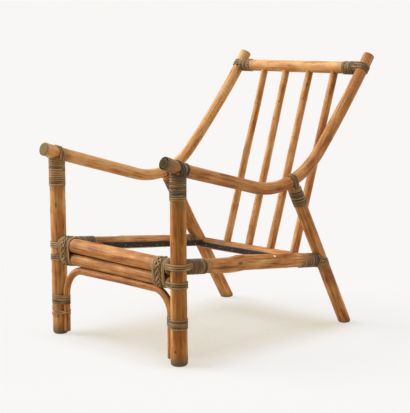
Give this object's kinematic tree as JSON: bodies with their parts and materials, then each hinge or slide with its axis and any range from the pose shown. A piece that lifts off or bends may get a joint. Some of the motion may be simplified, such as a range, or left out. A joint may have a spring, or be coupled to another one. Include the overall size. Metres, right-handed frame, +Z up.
{
  "type": "armchair",
  "caption": "Low easy chair of round cane poles with bent arms that run up into the back, spindles, railed seat frame and wound lashings.",
  "frame": {"origin": "on the floor, under the middle of the chair's width and depth", "axes": "+Z up, +Y towards the back, so the sitter faces -Y, and +X to the sitter's left"},
  "size_m": [0.575, 0.874, 0.8345],
  "materials": {
    "cane": "thin satin varnish",
    "peel": "worn, matt",
    "webbing": "matt",
    "steel": "plain"
  },
  "bodies": {
    "root": {"arm_pole_left": "cane", "arm_pole_right": "cane", "front_leg_left": "cane", "front_leg_right": "cane", "rear_leg_left": "cane", "rear_leg_right": "cane", "side_rail_left": "cane", "side_rail_right": "cane", "front_rail_upper": "cane", "front_rail_lower": "cane", "front_arch_brace": "cane", "back_rail": "cane", "top_rail": "cane", "back_spindle_1": "cane", "back_spindle_2": "cane", "back_spindle_3": "cane", "back_spindle_4": "cane", "leg_top_sleeve_left": "peel", "leg_top_sleeve_right": "peel", "rail_front_sleeve_left": "peel", "rail_front_sleeve_right": "peel", "rail_rear_sleeve_left": "peel", "rail_rear_sleeve_right": "peel", "rear_top_sleeve_left": "peel", "rear_top_sleeve_right": "peel", "top_rail_sleeve_left": "peel", "top_rail_sleeve_right": "peel", "front_rail_wrap_left": "peel", "front_rail_wrap_right": "peel", "brace_band_left": "peel", "brace_band_right": "peel", "arm_strap_left": "peel", "arm_strap_right": "peel", "bend_strap_left": "peel", "bend_strap_right": "peel", "front_corner_strap_left": "peel", "front_corner_strap_right": "peel", "front_lower_strap_left": "peel", "front_lower_strap_right": "peel", "rear_corner_strap_left": "peel", "rear_corner_strap_right": "peel", "post_strap_left": "peel", "post_strap_right": "peel", "seat_strip_left": "webbing", "seat_strip_right": "webbing", "seat_strip_back": "webbing", "leg_pin_left": "steel", "leg_pin_right": "steel", "rear_leg_pin_left": "steel", "rear_leg_pin_right": "steel", "rail_front_pin_left": "steel", "rail_front_pin_right": "steel", "rail_rear_pin_left": "steel", "rail_rear_pin_right": "steel", "front_rail_pin_left": "steel", "front_rail_pin_right": "steel", "back_rail_pin_left": "steel", "back_rail_pin_right": "steel", "top_rail_pin_left": "steel", "top_rail_pin_right": "steel"}
  },
  "joints": []
}
